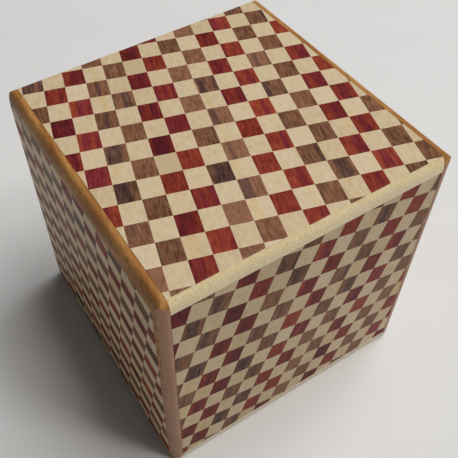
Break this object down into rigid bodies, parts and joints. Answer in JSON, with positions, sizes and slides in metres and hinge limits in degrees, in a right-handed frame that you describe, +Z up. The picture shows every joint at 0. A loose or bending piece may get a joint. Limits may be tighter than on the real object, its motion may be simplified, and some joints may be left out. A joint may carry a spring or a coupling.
{
  "type": "wooden puzzle box",
  "caption": "Cube-shaped secret-opening wooden box with checkered marquetry veneer, sliding lid, sliding bottom and end panels, and hidden locking keys.",
  "frame": {"origin": "centre of the underside, the face that the closed box stands on", "axes": "+Z up towards the lid; +X from the left end panel to the right one; +Y from the front wall to the back wall, the way the lid slides open"},
  "size_m": [0.0908, 0.0908, 0.0909],
  "materials": {
    "marquetry_veneer": "satin, checker of cream, red and brown woods",
    "pale_board": "satin",
    "honey_end_board": "satin",
    "carcass_wood": "planed, unvarnished",
    "rail_hardwood": "planed, waxed",
    "key_hardwood": "planed, waxed",
    "bamboo": "split and scraped"
  },
  "bodies": {
    "carcass": {"front_wall": "carcass_wood", "front_veneer": "marquetry_veneer", "back_wall": "carcass_wood", "back_veneer": "marquetry_veneer", "left_wall": "carcass_wood", "right_wall": "carcass_wood", "floor_board": "carcass_wood", "bamboo_pegs": "bamboo", "left_stop_block": "rail_hardwood", "right_stop_block": "rail_hardwood"},
    "lid": {"lid_core": "pale_board", "lid_veneer": "marquetry_veneer", "lid_rail_left": "rail_hardwood", "lid_rail_right": "rail_hardwood"},
    "bottom_panel": {"bottom_core": "pale_board", "bottom_veneer": "marquetry_veneer", "bottom_rail_left": "rail_hardwood", "bottom_rail_right": "rail_hardwood"},
    "left_end": {"left_end_core": "honey_end_board", "left_end_veneer": "marquetry_veneer", "left_end_strip": "rail_hardwood"},
    "right_end": {"right_end_core": "honey_end_board", "right_end_veneer": "marquetry_veneer", "right_end_strip": "rail_hardwood"},
    "lid_key": {"lid_key": "key_hardwood"},
    "bottom_key": {"bottom_key": "key_hardwood"}
  },
  "joints": [
    {"name": "lid_slide", "type": "slide", "parent": "carcass", "child": "lid", "axis": [0, 1, 0], "range_m": [0, 0.05]},
    {"name": "bottom_slide", "type": "slide", "parent": "carcass", "child": "bottom_panel", "axis": [0, -1, 0], "range_m": [0, 0.008]},
    {"name": "left_end_slide", "type": "slide", "parent": "carcass", "child": "left_end", "axis": [0, 0, 1], "range_m": [0, 0.005]},
    {"name": "right_end_slide", "type": "slide", "parent": "carcass", "child": "right_end", "axis": [0, 0, 1], "range_m": [0, 0.005]},
    {"name": "lid_key_slide", "type": "slide", "parent": "carcass", "child": "lid_key", "axis": [1, 0, 0], "range_m": [-0.0025, 0]},
    {"name": "bottom_key_slide", "type": "slide", "parent": "carcass", "child": "bottom_key", "axis": [-1, 0, 0], "range_m": [-0.0025, 0]}
  ]
}
